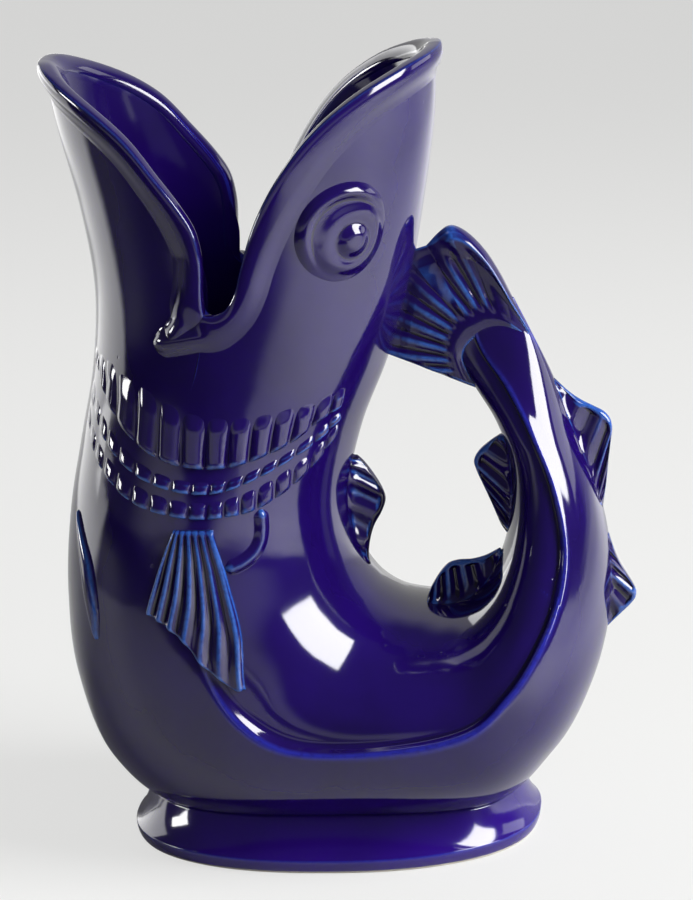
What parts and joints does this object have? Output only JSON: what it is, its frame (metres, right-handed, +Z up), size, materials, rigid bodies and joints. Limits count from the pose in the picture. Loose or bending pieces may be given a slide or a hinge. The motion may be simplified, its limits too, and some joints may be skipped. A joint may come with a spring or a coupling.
{
  "type": "gurgle jug",
  "caption": "Hollow glazed fish-shaped jug: the open mouth pours, the belly holds the liquid, the curled tail is the handle and a flared oval foot carries it.",
  "frame": {"origin": "on the ground, half way between the front of the belly and the tail's outer fin, in the fish's middle plane", "axes": "+Z up, the longest way; X along the fish from the belly (-X) to the curled tail (+X); Y across the flanks, the shortest way, with the fish's left flank at -Y"},
  "size_m": [0.1697, 0.1094, 0.2379],
  "materials": {
    "glaze_body": "glossy deep cobalt glaze",
    "glaze_foot": "glossy deep cobalt glaze",
    "glaze_gill": "glossy cobalt glaze, darker where it pools in the grooves",
    "glaze_eye": "glossy cobalt glaze",
    "glaze_edge": "glossy cobalt glaze, lighter blue where it thins over ribs and edges"
  },
  "bodies": {
    "root": {"anal_fin_lower": "glaze_edge", "anal_fin_upper": "glaze_edge", "body_shell": "glaze_body", "eye_left": "glaze_eye", "eye_right": "glaze_eye", "fin_hook_left": "glaze_edge", "fin_hook_right": "glaze_edge", "foot_ring": "glaze_foot", "gill_cover_left": "glaze_gill", "gill_cover_right": "glaze_gill", "gill_teeth_left": "glaze_gill", "gill_teeth_right": "glaze_gill", "loop_fin": "glaze_edge", "lower_lip": "glaze_edge", "neck_fin": "glaze_edge", "pectoral_fin_left": "glaze_edge", "pectoral_fin_right": "glaze_edge", "pelvic_fin_left": "glaze_edge", "pelvic_fin_right": "glaze_edge", "tail_fin": "glaze_edge", "tail_fin_inner": "glaze_edge", "tail_handle": "glaze_body", "upper_lip": "glaze_edge"}
  },
  "joints": []
}
